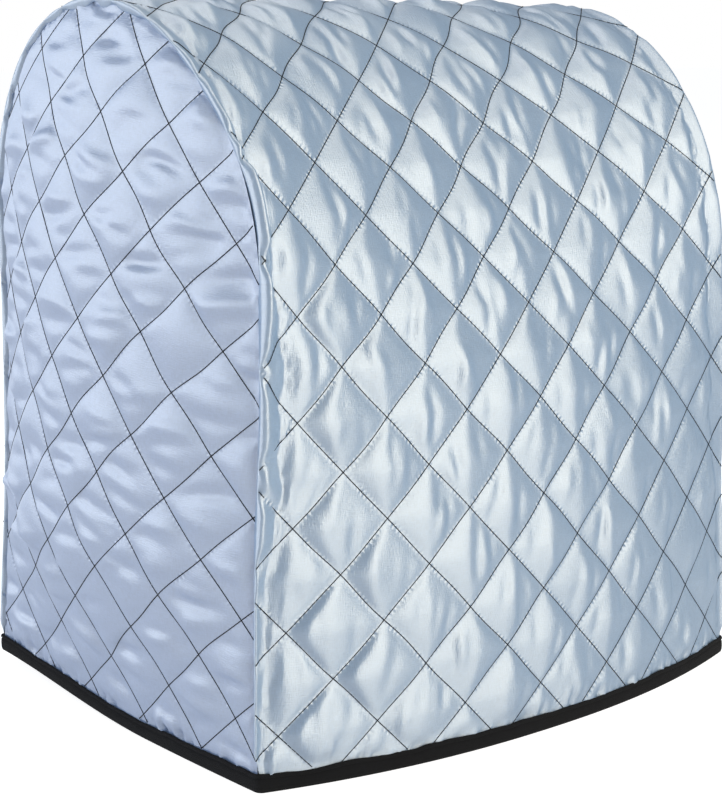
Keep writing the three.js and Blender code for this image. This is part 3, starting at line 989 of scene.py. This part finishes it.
def twill_material():
    n = Nodes("binding_twill")
    uv = n.add("ShaderNodeUVMap", uv_map="quilt").outputs[0]
    turned = n.add("ShaderNodeMapping", {0: uv, 2: (0, 0, 0.9), 3: (9.0, 9.0, 1.0)}).outputs[0]
    wave = n.add("ShaderNodeTexWave", {"Vector": turned, "Scale": 1.1, "Distortion": 0.6}).outputs[1]
    fuzz = n.add("ShaderNodeTexNoise", {"Scale": 700.0, "Detail": 3.0}).outputs[0]
    n.link(n.mix(fuzz, (0.003, 0.003, 0.004, 1), (0.012, 0.012, 0.014, 1)), "Base Color")
    height = n.math("ADD", wave, n.math("MULTIPLY", fuzz, 0.6))
    bump = n.add("ShaderNodeBump", {"Height": height, "Strength": 0.6, "Distance": 0.0004}).outputs[0]
    n.link(bump, "Normal")
    n.shader.inputs["Roughness"].default_value = 0.9
    n.shader.inputs["Specular IOR Level"].default_value = 0.14
    n.shader.inputs["Sheen Weight"].default_value = 0.02
    return n.material


def area_light(name, place, target, size, power, colour=(1, 1, 1)):
    data = bpy.data.lights.new(name, "AREA")
    data.shape = "RECTANGLE"
    data.size, data.size_y = size
    data.energy = power
    data.color = colour
    obj = bpy.data.objects.new(name, data)
    obj.location = place
    obj.rotation_euler = (Vector(target) - Vector(place)).to_track_quat("-Z", "Y").to_euler()
    bpy.context.scene.collection.objects.link(obj)


def studio():
    """A white background for the camera, a dimmer bluish light from it, and three soft boxes."""
    world = bpy.data.worlds.new("studio")
    bpy.context.scene.world = world
    world.use_nodes = True
    tree = world.node_tree
    tree.nodes.clear()
    out = tree.nodes.new("ShaderNodeOutputWorld")
    seen = tree.nodes.new("ShaderNodeBackground")
    seen.inputs[0].default_value = (1, 1, 1, 1)
    seen.inputs[1].default_value = 1.0
    light = tree.nodes.new("ShaderNodeBackground")
    light.inputs[0].default_value = (0.9, 0.95, 1.0, 1)
    light.inputs[1].default_value = 0.31
    path = tree.nodes.new("ShaderNodeLightPath")
    mix = tree.nodes.new("ShaderNodeMixShader")
    tree.links.new(path.outputs["Is Camera Ray"], mix.inputs[0])
    tree.links.new(light.outputs[0], mix.inputs[1])
    tree.links.new(seen.outputs[0], mix.inputs[2])
    tree.links.new(mix.outputs[0], out.inputs[0])
    area_light("front_soft_box", (0.55, -2.3, 1.5), (0.57, 0, 1.3), (2.6, 3.2), 90, (1.0, 0.965, 0.83))
    area_light("left_back_soft_box", (-2.3, 1.5, 1.0), (-0.1, 0, 0.6), (3.4, 2.2), 67, (0.88, 0.94, 1.0))
    area_light("top_soft_box", (0.2, 0.9, 2.6), (0, 0, 0.3), (2.0, 2.0), 22)


def build_floor():
    """A pale floor that is brighter to the camera than it is as a light."""
    mesh = bpy.data.meshes.new("floor")
    mesh.from_pydata([(-30, -30, 0), (30, -30, 0), (30, 30, 0), (-30, 30, 0)], [], [(0, 1, 2, 3)])
    obj = bpy.data.objects.new("floor", mesh)
    bpy.context.scene.collection.objects.link(obj)
    n = Nodes("pale_floor")
    n.shader.inputs["Base Color"].default_value = (0.45, 0.45, 0.45, 1)
    n.shader.inputs["Roughness"].default_value = 0.9
    n.shader.inputs["Emission Color"].default_value = (1, 1, 1, 1)
    seen = n.add("ShaderNodeLightPath").outputs["Is Camera Ray"]
    n.link(n.math("MULTIPLY_ADD", seen, 0.41, 0.44), "Emission Strength")
    mesh.materials.append(n.material)


def build_camera():
    data = bpy.data.cameras.new("camera")
    data.lens = 83.25
    data.sensor_width = 36
    data.clip_end = 100
    obj = bpy.data.objects.new("camera", data)
    obj.location = (-0.7049, -0.8567 + MOVE_Y * MM, 0.3743)
    obj.rotation_euler = (math.radians(79.281), 0, math.radians(-39.229))
    bpy.context.scene.collection.objects.link(obj)
    bpy.context.scene.camera = obj


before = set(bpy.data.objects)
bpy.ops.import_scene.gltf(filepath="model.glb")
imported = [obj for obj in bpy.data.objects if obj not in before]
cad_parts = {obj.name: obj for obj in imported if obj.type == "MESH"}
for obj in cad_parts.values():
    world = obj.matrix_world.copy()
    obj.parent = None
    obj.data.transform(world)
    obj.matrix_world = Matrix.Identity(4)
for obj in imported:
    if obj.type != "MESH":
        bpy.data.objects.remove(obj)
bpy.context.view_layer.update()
strip_along, strip_points, strip_uv, inner_faces = build_strip()
lip_left, lip_left_uv = build_lip(strip_along, -1)
lip_right, lip_right_uv = build_lip(strip_along, 1)
grids = [
    (strip_points, strip_uv, inner_faces),
    (lip_left, lip_left_uv, grid_faces(*lip_left.shape[:2], flip=True)),
    (lip_right, lip_right_uv, grid_faces(*lip_right.shape[:2])),
]
points, quads, tris, uv = join_grids(grids)
satin_strip = satin("satin_across", (0.18, 0.27, 0.41), 0.25)
satin_end = satin("satin_up", (0.21, 0.29, 0.47), 0.0)
satin_back = satin("satin_inside", (0.26, 0.34, 0.48), 0.25)
strip = make_mesh("main_panel_cloth", points, [quads, tris], uv)
strip.data.materials.append(satin_strip)
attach(strip, "root")
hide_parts("main_panel")

points, quads, uv = build_strip_back()
back = make_mesh("main_panel_back", points, [quads], uv)
back.data.materials.append(satin_back)
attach(back, "root")

for name, sign in (("left", -1), ("right", 1)):
    points, quads, tris, uv = join_equal(*build_end(sign))
    end = make_mesh("end_panel_cloth_" + name, points, [quads, tris], uv)
    end.data.materials.append(satin_end)
    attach(end, "root")
    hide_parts("end_panel_" + name)
    points, quads, tris, uv = join_equal(*build_end_back(sign))
    back = make_mesh("end_panel_back_" + name, points, [quads, tris], uv)
    back.data.materials.append(satin_back)
    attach(back, "root")

thread = thread_material()
for name, lines in (
    ("strip", strip_lines(np.random.default_rng(41))),
    ("left", end_lines(-1, np.random.default_rng(42))),
    ("right", end_lines(1, np.random.default_rng(43))),
):
    stitches = build_stitches("stitches_" + name, lines, np.random.default_rng(44))
    stitches.data.materials.append(thread)
    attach(stitches, "root")

tape = build_binding()
tape.data.materials.append(twill_material())
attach(tape, "root")
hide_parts("hem_binding")

build_floor()
studio()
build_camera()
bpy.context.scene.view_settings.view_transform = "Standard"
